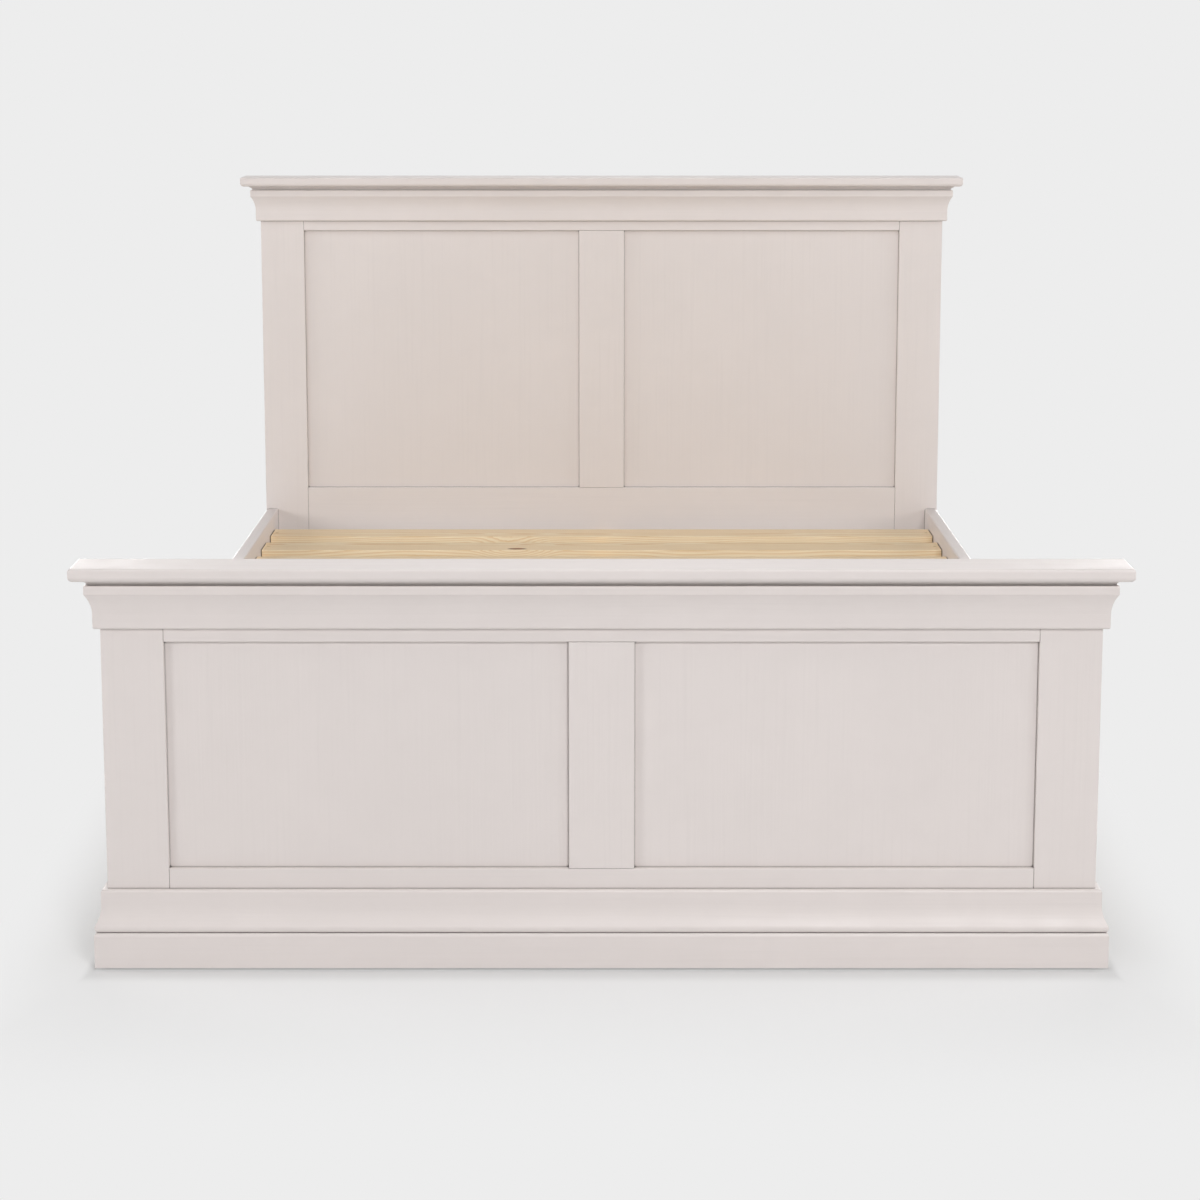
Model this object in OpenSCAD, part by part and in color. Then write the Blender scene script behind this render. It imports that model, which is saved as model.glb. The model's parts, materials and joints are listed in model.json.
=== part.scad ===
// Panelled bed frame with a moulded headboard and footboard.
// Millimetres. X is to the right seen from the foot end, Y runs towards the headboard, Z is up.
// The origin is on the floor under the middle of the bed.

/* [Overall] */
// Clear length between headboard and footboard
inside_l = 2010; // [1850:5:2150]
// Width of headboard and footboard over their posts
board_w = 1560; // [1300:10:1900]
// Height of the headboard to the top of its cap
head_h = 1140; // [950:10:1400]
// Height of the footboard to the top of its cap
foot_h = 650; // [560:10:800]
// Height of the glides that keep the wood off the floor
glide_h = 4; // [3:1:8]

/* [Posts, rails and panels] */
// Width of a post
post_w = 98; // [80:1:130]
// Thickness of a post
post_t = 46; // [42:1:60]
// Thickness of the rails and muntins between the posts
rail_t = 40; // [34:1:46]
// Height of the top rails
top_rail_h = 102; // [90:1:150]
// Height of the footboard's bottom rail
foot_rail_h = 157; // [140:1:200]
// Height of the headboard's bottom rail
head_rail_h = 180; // [120:5:240]
// How far the headboard's bottom rail reaches below the centre rail
head_rail_drop = 17; // [5:1:60]
// Width of the muntin between the panels
muntin_w = 103; // [90:1:140]
// Thickness of a panel
panel_t = 12; // [9:1:15]
// How far a panel lies behind the face of its frame
panel_recess = 9; // [5:0.5:14]
// Depth of the grooves that hold the panels
groove_d = 11; // [8:1:14]
// Gap that a panel has at the bottom of its groove
groove_gap = 1; // [0.5:0.5:2]
// Length of a rail tenon
tenon_l = 30; // [20:1:45]
// Shoulder above and below a rail tenon
tenon_shoulder = 15; // [14.5:0.5:25]
// Radius of the eased front edges
ease_r = 1.5; // [1:0.5:4]

/* [Cap] */
// Thickness of a cap
cap_t = 21; // [18:1:30]
// How far a cap reaches past the posts, at the front and at both ends
cap_over = 40; // [32:1:55]
// Radius of a cap's upper edge
cap_top_r = 4; // [2:0.5:8]
// Radius of a cap's lower edge
cap_low_r = 8; // [3:0.5:9]

/* [Cornice] */
// Height of the cornice
cornice_h = 80; // [76:1:100]
// Projection of the fillet right under the cap
fillet_p = 21.5; // [20:0.5:30]
// Height of that fillet down to the corner of the quirk
quirk_h = 9; // [7:0.5:12]
// Radius of the hollow that forms the quirk
quirk_r = 6.6; // [4:0.2:6.8]
// Projection of the flat band under the quirk
band_p = 20; // [18:0.5:26]
// Height of the flat band
band_h = 14; // [10:0.5:18]
// Radius of the band's upper edge
band_r = 2; // [1:0.5:4]
// Height of the hollow sweep under the band
sweep_h = 33; // [25:1:40]
// Projection of the cornice below the sweep
neck_p = 9.5; // [8:0.5:15]
// Radius of the cornice's lower edge
neck_r = 4; // [2:0.5:6]

/* [Plinth and base moulding] */
// Height of the floor-level plinth board
plinth_h = 58; // [50:1:70]
// Projection of the plinth board
plinth_p = 20; // [18:0.5:28]
// Radius of the plinth's upper edge
plinth_r = 7; // [3:0.5:9]
// Radius of the base moulding's rounded nose
nose_r = 9; // [8:0.5:10]
// Projection of the nose
nose_p = 19.3; // [18.5:0.1:20]
// Height of the nose's foremost line above the plinth
nose_z = 7; // [6.5:0.5:8]
// Height above the plinth where the nose runs into the hollow sweep
nose_h = 12; // [11:0.5:13]
// Height of the hollow sweep of the base moulding
base_sweep_h = 30; // [20:1:36]
// Projection of the base moulding above its sweep
base_neck_p = 9.2; // [7:0.2:12]
// Height of the straight part above the sweep
base_neck_h = 24.5; // [16:0.5:30]
// Radius of the base moulding's upper edge
base_top_r = 4; // [2:0.5:6]

/* [Side rails and slats] */
// Thickness of a side rail
side_t = 25; // [22:1:32]
// Height of a side rail
side_h = 180; // [170:1:220]
// Height of a side rail's lower edge above the floor
side_z = 190; // [150:5:230]
// How far a side rail lies inside the outer face of its posts
side_inset = 2; // [0:0.5:10]
// Radius of a side rail's long edges
side_r = 3; // [1:0.5:6]
// How far the slats lie below the top of the side rails
slat_drop = 35; // [20:1:50]
// Number of slats
slat_count = 12; // [8:1:12]
// Width of a slat
slat_w = 90; // [60:1:110]
// Thickness of a slat
slat_t = 18; // [15:1:24]
// Radius of a slat's long edges
slat_r = 2; // [1:0.5:5]
// Gap between a slat's end and its side rail
slat_gap = 2; // [1:0.5:4]
// Width of the ledger that carries the slat ends
ledger_w = 22; // [20:1:35]
// Height of a ledger
ledger_h = 40; // [38:1:60]
// Distance from each end of the side rail to its ledger
ledger_stop = 60; // [50:1:70]

/* [Centre support] */
// Width of the centre rail
centre_w = 35; // [28:1:45]
// Height of the centre rail
centre_h = 60; // [50:1:80]
// Side of a square centre leg
leg_w = 45; // [40:1:60]
// Distance between the two centre legs
leg_spacing = 670; // [400:10:1000]
// Radius of a leg's upright edges
leg_r = 3; // [1:0.5:6]
// Thickness of the hangers' steel
hanger_t = 2.5; // [2:0.5:4]
// Width of a hanger's screw flange on each side
hanger_flange = 20; // [16:1:22]
// Length of a hanger's seat
hanger_seat = 35; // [25:1:50]
// How far a hanger stops below the top of the centre rail
hanger_drop = 6; // [2:1:12]

/* [Levelling feet] */
// Diameter of a foot pad
pad_d = 44; // [36:1:60]
// Height of a foot pad
pad_h = 12; // [10:1:16]
// Diameter of the neck of a foot pad
pad_neck_d = 20; // [18:1:26]
// Diameter of the threaded stem
stem_d = 10; // [8:1:12]
// Travel of a foot between screwed in and fully out
foot_travel = 12; // [6:1:20]
// Length of stem that stays above its sleeve when the foot is fully out
stem_spare = 8; // [4:1:16]
// Width across the flats of the stem's nut
nut_af = 17; // [15:1:22]
// Thickness of the stem's nut
nut_t = 6; // [4:0.5:8]
// Length of the threaded sleeve in a leg
sleeve_l = 20; // [15:1:25]
// Wall of the threaded sleeve
sleeve_wall = 1.5; // [1:0.25:2.5]

/* [Hardware] */
// Length of each leg of a corner bracket
bracket_leg = 45; // [40:1:48]
// Height of a corner bracket
bracket_h = 110; // [95:1:120]
// Thickness of a corner bracket
bracket_t = 3; // [2:0.5:5]
// Inside radius of the bracket's bend
bend_r = 3; // [1:0.5:6]
// Radius of the bracket's free corners
bracket_r = 8; // [2:1:12]
// Height of the bracket's lower edge above that of the side rail
bracket_up = 10; // [5:1:15]
// Diameter of the bolts through a bracket
bolt_d = 8; // [6:1:10]
// Length of a bolt under its head
bolt_l = 25; // [18:1:30]
// Length of the threaded inserts in the posts
insert_l = 18; // [12:1:20]
// Diameter of the pan head screws
pan_d = 5; // [4:0.5:6]
// Length of the pan head screws
pan_l = 20; // [16:1:24]
// Diameter of the countersunk wood screws
screw_d = 4; // [3:0.5:5]
// Length of the countersunk wood screws
screw_l = 38; // [32:1:40]
// Diameter of the dowels
dowel_d = 8; // [6:1:10]
// Length of the dowels
dowel_l = 35; // [24:1:36]
// Diameter of a glide
glide_d = 30; // [20:1:36]
// Distance of the two inner glides of the footboard from the middle
glide_x = 533; // [300:1:560]
// Length of the nail that holds a glide
nail_l = 14; // [10:1:20]

/* [Fits] */
// Clearance on each side of a fixed joint
fit = 0.1; // [0.05:0.05:0.2]
// Running clearance on each side of a turning stem
run_fit = 0.06; // [0.03:0.01:0.09]
// Gap between faces that move past each other
move_gap = 0.3; // [0.2:0.1:0.6]

/* [Hidden] */
$fn = 96;
paint = "#DCD5D1";
pine = "#E2C79C";
beech = "#D3AE7B";
steel = "#B7BABD";
brass = "#C9A959";
plastic = "#2B2C2E";

board_x = board_w / 2;
in_x = board_x - post_w;
total_l = cap_over + post_t + inside_l + post_t;
foot_y = -total_l / 2 + cap_over;
foot_in_y = foot_y + post_t;
head_y = foot_in_y + inside_l;
mid_y = (foot_in_y + head_y) / 2;

side_x1 = board_x - side_inset;
side_x0 = side_x1 - side_t;
slat_z1 = side_z + side_h - slat_drop;
slat_z0 = slat_z1 - slat_t;
slat_pitch = (inside_l + slat_w) / (slat_count + 1);
slat_x = side_x0 - slat_gap;
centre_z0 = slat_z0 - centre_h;

foot_rail_z0 = glide_h;
foot_rail_z1 = glide_h + foot_rail_h;
head_rail_z0 = centre_z0 - head_rail_drop;
head_rail_z1 = head_rail_z0 + head_rail_h;
plinth_z1 = glide_h + plinth_h;

screw_head_r = screw_d;
pan_head_r = 0.95 * pan_d;
pan_head_h = 0.6 * pan_d;
washer_r = 1.06 * bolt_d;
washer_t = 1.5;
bolt_head_r = 0.81 * bolt_d;
bolt_head_h = 0.6 * bolt_d;
key_r = 0.36 * bolt_d;
key_depth = 0.4 * bolt_d;
insert_wall = 1.5;
insert_rim = 1.5;
nail_d = 3;
dowel_in_post = 0.43 * dowel_l;

bracket_z = side_z + bracket_up;
bolt_x = side_x0 - 0.53 * bracket_leg;
bolt_z = [bracket_z + 0.22 * bracket_h, bracket_z + 0.78 * bracket_h];
near_y = 0.34 * bracket_leg;
far_y = 0.74 * bracket_leg;
rail_screws = [
    [near_y, bracket_z + 0.12 * bracket_h], [far_y, bracket_z + 0.3 * bracket_h],
    [near_y, bracket_z + 0.7 * bracket_h], [far_y, bracket_z + 0.88 * bracket_h]
];
dowel_z = [bracket_z + 0.5 * bracket_h, side_z + side_h - 2.5 * dowel_d];
dowel_x = (side_x0 + side_x1) / 2;
leg_dowel_y = 0.27 * leg_w;
hanger_screw_x = centre_w / 2 + hanger_t + hanger_flange / 2;
hanger_screw_z = [centre_z0 + 0.25 * centre_h, centre_z0 + 0.7 * centre_h];

stem_r = stem_d / 2;
stem_in = sleeve_l + foot_travel + stem_spare;
spigot_r = 0.8 * stem_r;
pad_floor = 0.35 * pad_h;
nut_z = pad_h + move_gap;
leg_z0 = nut_z + nut_t + move_gap;

function slat_name(i) = str("slat_", i < 10 ? "0" : "", i);
function slat_y(i) = foot_in_y + slat_pitch * i - slat_w / 2;
function gap_y(i) = slat_y(i) + slat_pitch / 2;
function sweep_r(step, height) = (step * step + height * height) / (2 * step);

// Waste outside a quarter round at a corner that lies on the origin
module corner_waste(r) {
    difference() {
        translate([-1, -1]) square(r + 1);
        translate([r, r]) circle(r);
    }
}

// Rectangle between two corners, rounded by the four radii in r:
// lower left, lower right, upper right, upper left
module section(x0, y0, x1, y1, r) {
    spots = [[x0, y0], [x1, y0], [x1, y1], [x0, y1]];
    difference() {
        translate([x0, y0]) square([x1 - x0, y1 - y0]);
        for (i = [0 : 3]) if (r[i] > 0) translate(spots[i]) rotate(90 * i) corner_waste(r[i]);
    }
}

// Runs a section drawn in Y and Z along X
module along_x(x0, x1) {
    translate([x0, 0, 0]) rotate([90, 0, 90]) linear_extrude(x1 - x0) children();
}

// Runs a section drawn in X and Z along Y
module along_y(y0, y1) {
    translate([0, y1, 0]) rotate([90, 0, 0]) linear_extrude(y1 - y0) children();
}

// Runs a section drawn in X and Y along Z
module along_z(z0, z1) {
    translate([0, 0, z0]) linear_extrude(z1 - z0) children();
}

// Box between two corners
module block(low, high) {
    translate(low) cube(high - low);
}

// Places a piece drawn for the right-hand side on either side
module on_side(side) {
    mirror([side < 0 ? 1 : 0, 0, 0]) children();
}

// Places a piece drawn with a post's bed-side face at y = 0 at one of the four corners
module at_corner(side, end) {
    translate([0, mid_y, 0])
        on_side(side)
            mirror([0, end > 0 ? 1 : 0, 0])
                translate([0, -inside_l / 2, 0]) children();
}

// Places a piece drawn against y = 0 on the two faces that carry the centre rail
module at_end(end) {
    translate([0, end < 0 ? foot_y + rail_t : head_y, 0])
        mirror([0, end > 0 ? 1 : 0, 0]) children();
}

// Flat stock of the frame, its front at y = 0, with its four front edges eased
module frame_stock(x0, x1, z0, z1) {
    intersection() {
        along_x(x0, x1) section(0, z0, rail_t, z1, [ease_r, 0, 0, ease_r]);
        along_z(z0, z1) section(x0, 0, x1, rail_t, [ease_r, ease_r, 0, 0]);
    }
}

// Layer in which tenons, tongues, panels and their grooves lie, widened by gap
module tongue(x0, x1, z0, z1, gap = 0) {
    block([x0, panel_recess - gap, z0], [x1, panel_recess + panel_t + gap, z1]);
}

// Mortise in the right-hand post for the rail between z0 and z1
module mortise(z0, z1) {
    low = z0 + tenon_shoulder - fit;
    high = z1 - tenon_shoulder + fit;
    tongue(in_x - 1, in_x + tenon_l + groove_gap, low, high, fit);
}

// Post with its panel groove and mortises, its front at y = 0
module post_body(h, rail_z0, rail_z1) {
    top = h - cap_t;
    groove_z0 = rail_z1 - groove_d;
    groove_z1 = top - top_rail_h + groove_d;
    difference() {
        along_z(glide_h, top) section(in_x, 0, board_x, post_t, [1, 1, 1, 1] * ease_r);
        tongue(in_x - 1, in_x + groove_d, groove_z0, groove_z1, fit);
        mortise(rail_z0, rail_z1);
        mortise(top - top_rail_h, top);
        translate([board_x - post_w / 2, post_t / 2, glide_h]) nail_hole();
    }
}

// Holes in a post for the inserts, bolts and dowels, seen from its bed-side face
module post_bores() {
    for (z = bolt_z) translate([bolt_x, 0, z]) rotate([90, 0, 0]) {
        bore(bolt_d / 2 + insert_wall + fit, insert_l + fit);
        bore(bolt_d / 2 + insert_wall + insert_rim + fit, insert_rim + fit);
        bore(bolt_d / 2 + fit, bolt_l - bracket_t + 1);
    }
    for (z = dowel_z) translate([dowel_x, 0, z]) rotate([90, 0, 0])
        bore(dowel_d / 2 + fit, dowel_in_post + fit);
}

// Hole of the given depth that starts a little before the surface
module bore(r, depth) {
    translate([0, 0, -1]) cylinder(r = r, h = depth + 1);
}

module post(h, rail_z0, rail_z1, front_y, side, end) {
    color(paint) difference() {
        translate([0, front_y, 0]) on_side(side) post_body(h, rail_z0, rail_z1);
        at_corner(side, end) post_bores();
    }
}

module top_rail(h, front_y) {
    z1 = h - cap_t;
    z0 = z1 - top_rail_h;
    color(paint) translate([0, front_y, 0]) difference() {
        union() {
            frame_stock(-in_x, in_x, z0, z1);
            tongue(-in_x - tenon_l, in_x + tenon_l, z0 + tenon_shoulder, z1 - tenon_shoulder);
        }
        tongue(-in_x - 1, in_x + 1, z0 - 1, z0 + groove_d, fit);
    }
}

module bottom_rail(z0, z1) {
    difference() {
        union() {
            frame_stock(-in_x, in_x, z0, z1);
            tongue(-in_x - tenon_l, in_x + tenon_l, z0 + tenon_shoulder, z1 - tenon_shoulder);
        }
        tongue(-in_x - 1, in_x + 1, z1 - groove_d, z1 + 1, fit);
    }
}

// Muntin between the rails, with a stub tongue at each end and a groove along each side
module muntin(z0, z1) {
    x = muntin_w / 2;
    tongue_l = groove_d - groove_gap;
    difference() {
        union() {
            frame_stock(-x, x, z0, z1);
            tongue(-x + groove_d, x - groove_d, z0 - tongue_l, z1 + tongue_l);
        }
        for (side = [-1, 1]) on_side(side) tongue(x - groove_d, x + 1, z0 - 1, z1 + 1, fit);
    }
}

module panel(h, rail_z1, front_y, side) {
    reach = groove_d - groove_gap;
    z1 = h - cap_t - top_rail_h + reach;
    color(paint) translate([0, front_y, 0]) on_side(side)
        tongue(muntin_w / 2 - reach, in_x + reach, rail_z1 - reach, z1);
}

// Top board whose rounded front and ends meet in mitred corners
module cap(h, front_y) {
    x = board_x + cap_over;
    z0 = h - cap_t;
    color(paint) translate([0, front_y, 0]) intersection() {
        along_x(-x, x) section(-cap_over, z0, post_t, h, [cap_low_r, 1, ease_r, cap_top_r]);
        along_y(-cap_over, post_t)
            section(-x, z0, x, h, [cap_low_r, cap_low_r, cap_top_r, cap_top_r]);
    }
}

// Cornice section: projection to the right, height down from the cap
module cornice_section() {
    band_z = -quirk_h - band_h;
    neck_z = band_z - sweep_h;
    r = sweep_r(band_p - neck_p, sweep_h);
    difference() {
        translate([0, -quirk_h]) square([fillet_p, quirk_h]);
        translate([fillet_p + 0.5, -quirk_h]) circle(quirk_r);
    }
    section(0, band_z, band_p, -quirk_h, [0, 0, band_r, 0]);
    difference() {
        translate([0, neck_z]) square([band_p, sweep_h]);
        translate([neck_p + r, neck_z]) circle(r);
    }
    section(0, -cornice_h, neck_p, neck_z, [0, neck_r, 0, 0]);
}

// Base moulding section: projection to the right, height up from the plinth
module base_section() {
    back_p = nose_p - nose_r;
    rise = nose_h - nose_z;
    sweep_p = back_p + sqrt(nose_r * nose_r - rise * rise);
    neck_z = nose_h + base_sweep_h;
    r = sweep_r(sweep_p - base_neck_p, base_sweep_h);
    square([back_p, nose_h]);
    intersection() {
        square([nose_p, nose_h]);
        translate([back_p, nose_z]) circle(nose_r);
    }
    difference() {
        translate([0, nose_h]) square([sweep_p, base_sweep_h]);
        translate([base_neck_p + r, neck_z]) circle(r);
    }
    section(0, neck_z, base_neck_p, neck_z + base_neck_h, [0, 0, base_top_r, 0]);
}

module plinth_section() {
    section(0, 0, plinth_p, plinth_h, [0, 1, plinth_r, 0]);
}

// Moulding across a board's front, mitred at both ends, from a section drawn as
// projection and height
module front_run(z0, z1) {
    reach = cap_over;
    x = board_x;
    intersection() {
        along_x(-x - reach, x + reach) mirror([1, 0]) children();
        along_z(z0, z1) polygon([[-x, 0], [x, 0], [x + reach, -reach], [-x - reach, -reach]]);
    }
}

// The same moulding returned along the right-hand end of a board
module return_run(z0, z1) {
    reach = cap_over;
    x = board_x;
    intersection() {
        translate([x, 0, 0]) along_y(-reach, post_t) children();
        along_z(z0, z1) polygon([[x, 0], [x + reach, -reach], [x + reach, post_t], [x, post_t]]);
    }
}

// One length of the cornice: side 0 is the front, -1 and 1 are the returns
module cornice(h, front_y, side) {
    top = h - cap_t;
    color(paint) translate([0, front_y, 0])
        if (side == 0) front_run(top - cornice_h, top) translate([0, top]) cornice_section();
        else on_side(side) return_run(top - cornice_h, top) translate([0, top]) cornice_section();
}

module base(side) {
    z0 = plinth_z1;
    z1 = z0 + nose_h + base_sweep_h + base_neck_h;
    color(paint) translate([0, foot_y, 0])
        if (side == 0) front_run(z0, z1) translate([0, z0]) base_section();
        else on_side(side) return_run(z0, z1) translate([0, z0]) base_section();
}

module plinth(side) {
    z0 = glide_h;
    color(paint) translate([0, foot_y, 0])
        if (side == 0) front_run(z0, plinth_z1) translate([0, z0]) plinth_section();
        else on_side(side) return_run(z0, plinth_z1) translate([0, z0]) plinth_section();
}

module head_bottom_rail() {
    color(paint) difference() {
        translate([0, head_y, 0]) bottom_rail(head_rail_z0, head_rail_z1);
        at_end(1) hanger_screws(fit);
    }
}

module foot_bottom_rail() {
    color(paint) translate([0, foot_y, 0]) difference() {
        bottom_rail(foot_rail_z0, foot_rail_z1);
        for (side = [-1, 1]) translate([side * glide_x, rail_t / 2, glide_h]) nail_hole();
    }
}

module head_muntin() {
    color(paint) translate([0, head_y, 0]) muntin(head_rail_z1, head_h - cap_t - top_rail_h);
}

module foot_muntin() {
    color(paint) difference() {
        translate([0, foot_y, 0]) muntin(foot_rail_z1, foot_h - cap_t - top_rail_h);
        at_end(-1) hanger_screws(fit);
    }
}

// Side rail with its dowel holes, screw holes and pilot holes
module side_rail(side) {
    radii = [1, 1, 1, 1] * side_r;
    color(paint) difference() {
        on_side(side) along_y(foot_in_y, head_y)
            section(side_x0, side_z, side_x1, side_z + side_h, radii);
        for (end = [-1, 1]) at_corner(side, end) {
            for (z = dowel_z) translate([dowel_x, 0, z]) rotate([-90, 0, 0])
                bore(dowel_d / 2 + fit, dowel_l - dowel_in_post + fit);
            rail_pan_screws(fit);
        }
        on_side(side) ledger_screws(fit);
    }
}

module slat_ledger(side) {
    color(pine) difference() {
        on_side(side) along_y(foot_in_y + ledger_stop, head_y - ledger_stop)
            section(side_x0 - ledger_w, slat_z0 - ledger_h, side_x0, slat_z0, [2, 0, 0, 1]);
        on_side(side) ledger_screws(fit);
        on_side(side) slat_screws(fit);
    }
}

module slat(i) {
    color(pine) difference() {
        along_x(-slat_x, slat_x)
            section(slat_y(i) - slat_w / 2, slat_z0, slat_y(i) + slat_w / 2, slat_z1,
                [1, 1, 1, 1] * slat_r);
        for (side = [-1, 1]) on_side(side) slat_screw(i, fit);
    }
}

module centre_rail() {
    y0 = foot_y + rail_t + hanger_t;
    y1 = head_y - hanger_t;
    x = centre_w / 2;
    color(pine) difference() {
        along_y(y0, y1) section(-x, centre_z0, x, slat_z0, [1, 1, 1, 1]);
        leg_dowels(fit);
    }
}

// Steel stirrup that carries one end of the centre rail
module hanger() {
    x = centre_w / 2 + fit;
    z0 = centre_z0 - hanger_t;
    z1 = slat_z0 - hanger_drop;
    bend = hanger_t + 1;
    difference() {
        union() {
            along_y(0, hanger_t) section(-x - hanger_t - hanger_flange, z0,
                x + hanger_t + hanger_flange, z1, [4, 4, 4, 4]);
            along_y(0, hanger_seat)
                section(-x - hanger_t, z0, x + hanger_t, z1, [bend, bend, 0, 0]);
        }
        along_y(hanger_t, hanger_seat + 1) section(-x, centre_z0, x, z1 + 1, [1, 1, 0, 0]);
        hanger_screws(fit);
    }
}

module centre_rail_hangers() {
    color(steel) for (end = [-1, 1]) at_end(end) hanger();
}

// Centre leg with its dowel holes and the hole for its sleeve and stem
module centre_leg(y) {
    x = leg_w / 2;
    color(pine) difference() {
        along_z(leg_z0, centre_z0) section(-x, y - x, x, y + x, [1, 1, 1, 1] * leg_r);
        leg_dowels(fit);
        translate([0, y, leg_z0]) {
            bore(stem_r + sleeve_wall + fit, sleeve_l + fit);
            bore(stem_r + 3 * sleeve_wall + fit, sleeve_wall + fit);
            bore(stem_r + 2 * fit, stem_in + 3);
        }
    }
}

// Threaded sleeve with a rim, its mouth at z = 0
module sleeve(r, wall, length, rim, gap) {
    difference() {
        union() {
            cylinder(r = r + wall, h = length);
            cylinder(r = r + wall + rim, h = wall);
        }
        translate([0, 0, -1]) cylinder(r = r + gap, h = length + 2);
    }
}

module foot_sleeves() {
    color(steel) for (end = [-1, 1]) translate([0, end * leg_spacing / 2, leg_z0])
        sleeve(stem_r, sleeve_wall, sleeve_l, 2 * sleeve_wall, run_fit);
}

// Stem of a levelling foot: spigot in the pad, nut, and thread in the leg
module foot_stem(y) {
    spigot_z = pad_floor + fit;
    color(steel) translate([0, y, 0]) {
        translate([0, 0, spigot_z]) cylinder(r = spigot_r, h = nut_z + 1 - spigot_z);
        translate([0, 0, nut_z]) cylinder(r = nut_af / sqrt(3), h = nut_t, $fn = 6);
        translate([0, 0, nut_z + nut_t - 1]) cylinder(r = stem_r, h = 1 + move_gap + stem_in);
    }
}

// Pad of a levelling foot: a flat disc that rises in a hollow curve to a neck
module foot_pad(y) {
    edge = 0.3 * pad_h;
    neck = pad_neck_d / 2;
    hollow = pad_h - edge - 1;
    color(plastic) translate([0, y, 0]) difference() {
        rotate_extrude() {
            section(0, 0, pad_d / 2, edge, [0, 1, 0.5, 0]);
            square([neck, pad_h]);
            difference() {
                translate([neck, edge]) square(hollow);
                translate([neck + hollow, edge + hollow]) circle(hollow);
            }
        }
        translate([0, 0, pad_floor]) cylinder(r = spigot_r + run_fit, h = pad_h);
    }
}

// Bent steel angle in the corner between a post and a side rail
module corner_bracket() {
    x0 = side_x0 - bracket_leg;
    z1 = bracket_z + bracket_h;
    difference() {
        along_z(bracket_z, z1) difference() {
            section(x0, 0, side_x0, bracket_leg, [0, bend_r + bracket_t, 0, 0]);
            section(x0 - 1, bracket_t, side_x0 - bracket_t, bracket_leg + 1, [0, bend_r, 0, 0]);
        }
        along_y(-1, bracket_t + 1) {
            translate([x0, bracket_z]) corner_waste(bracket_r);
            translate([x0, z1]) rotate(-90) corner_waste(bracket_r);
        }
        along_x(side_x0 - bracket_t - 1, side_x0 + 1) {
            translate([bracket_leg, bracket_z]) rotate(90) corner_waste(bracket_r);
            translate([bracket_leg, z1]) rotate(180) corner_waste(bracket_r);
        }
        for (z = bolt_z) translate([bolt_x, bracket_t + 1, z]) rotate([90, 0, 0])
            cylinder(r = bolt_d / 2 + 2 * fit, h = bracket_t + 2);
        rail_pan_screws(fit);
    }
}

module corner_brackets() {
    color(steel) for (side = [-1, 1]) for (end = [-1, 1]) at_corner(side, end) corner_bracket();
}

// Bolt with a washer face and a hexagon socket, its shank down from the origin
module bolt() {
    difference() {
        union() {
            cylinder(r = washer_r, h = washer_t);
            cylinder(r = bolt_head_r, h = washer_t + bolt_head_h);
            translate([0, 0, -bolt_l]) cylinder(r = bolt_d / 2, h = bolt_l + 1);
        }
        translate([0, 0, washer_t + bolt_head_h - key_depth])
            cylinder(r = key_r, h = key_depth + 1, $fn = 6);
    }
}

module bracket_bolts() {
    color(steel) for (side = [-1, 1]) for (end = [-1, 1]) at_corner(side, end)
        for (z = bolt_z) translate([bolt_x, bracket_t, z]) rotate([-90, 0, 0]) bolt();
}

module threaded_inserts() {
    color(brass) for (side = [-1, 1]) for (end = [-1, 1]) at_corner(side, end)
        for (z = bolt_z) translate([bolt_x, 0, z]) rotate([90, 0, 0])
            sleeve(bolt_d / 2, insert_wall, insert_l, insert_rim, fit / 2);
}

// Pan head screw, its shank down from the origin. With a gap it is the shape of its hole
module pan_screw(gap = 0) {
    point = pan_d;
    rotate_extrude() polygon([
        [0, pan_head_h], [pan_head_r - 1, pan_head_h], [pan_head_r, pan_head_h - 1],
        [pan_head_r, 0], [pan_d / 2 + gap, 0], [pan_d / 2 + gap, point - pan_l],
        [0, -pan_l - gap]
    ]);
}

// The four screws of a bracket, driven from its face into the side rail
module rail_pan_screws(gap = 0) {
    for (s = rail_screws) translate([side_x0 - bracket_t, s[0], s[1]]) rotate([0, -90, 0])
        pan_screw(gap);
}

// The four screws of a hanger, driven into the wood behind it
module hanger_screws(gap = 0) {
    for (x = [-1, 1] * hanger_screw_x) for (z = hanger_screw_z)
        translate([x, hanger_t, z]) rotate([-90, 0, 0]) pan_screw(gap);
}

module pan_screws() {
    color(steel) {
        for (side = [-1, 1]) for (end = [-1, 1]) at_corner(side, end) rail_pan_screws();
        for (end = [-1, 1]) at_end(end) hanger_screws();
    }
}

// Countersunk wood screw, its head's top at the origin. With a gap it is the shape of its hole
module wood_screw(gap = 0) {
    r = screw_d / 2 + gap;
    head = screw_head_r + gap;
    sink = 0.6 * screw_d;
    rotate_extrude() polygon([
        [0, gap], [head, gap], [head, -0.2], [r, -sink - 0.2],
        [r, screw_d - screw_l], [0, -screw_l - gap]
    ]);
}

// Screw that holds one end of slat i to its ledger, on the right-hand side
module slat_screw(i, gap = 0) {
    translate([side_x0 - ledger_w / 2, slat_y(i), slat_z1]) wood_screw(gap);
}

module slat_screws(gap = 0) {
    for (i = [1 : slat_count]) slat_screw(i, gap);
}

// Screws that hold a ledger to its side rail, in every second gap between the slats
module ledger_screws(gap = 0) {
    for (i = [1 : 2 : slat_count - 1])
        translate([side_x0 - ledger_w, gap_y(i), slat_z0 - ledger_h / 2]) rotate([0, -90, 0])
            wood_screw(gap);
}

module wood_screws() {
    color(brass) for (side = [-1, 1]) on_side(side) {
        slat_screws();
        ledger_screws();
    }
}

// Dowel along Z with chamfered ends
module dowel(r, low, high) {
    rotate_extrude() polygon([
        [0, low], [r - 1, low], [r, low + 1], [r, high - 1], [r - 1, high], [0, high]
    ]);
}

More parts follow.
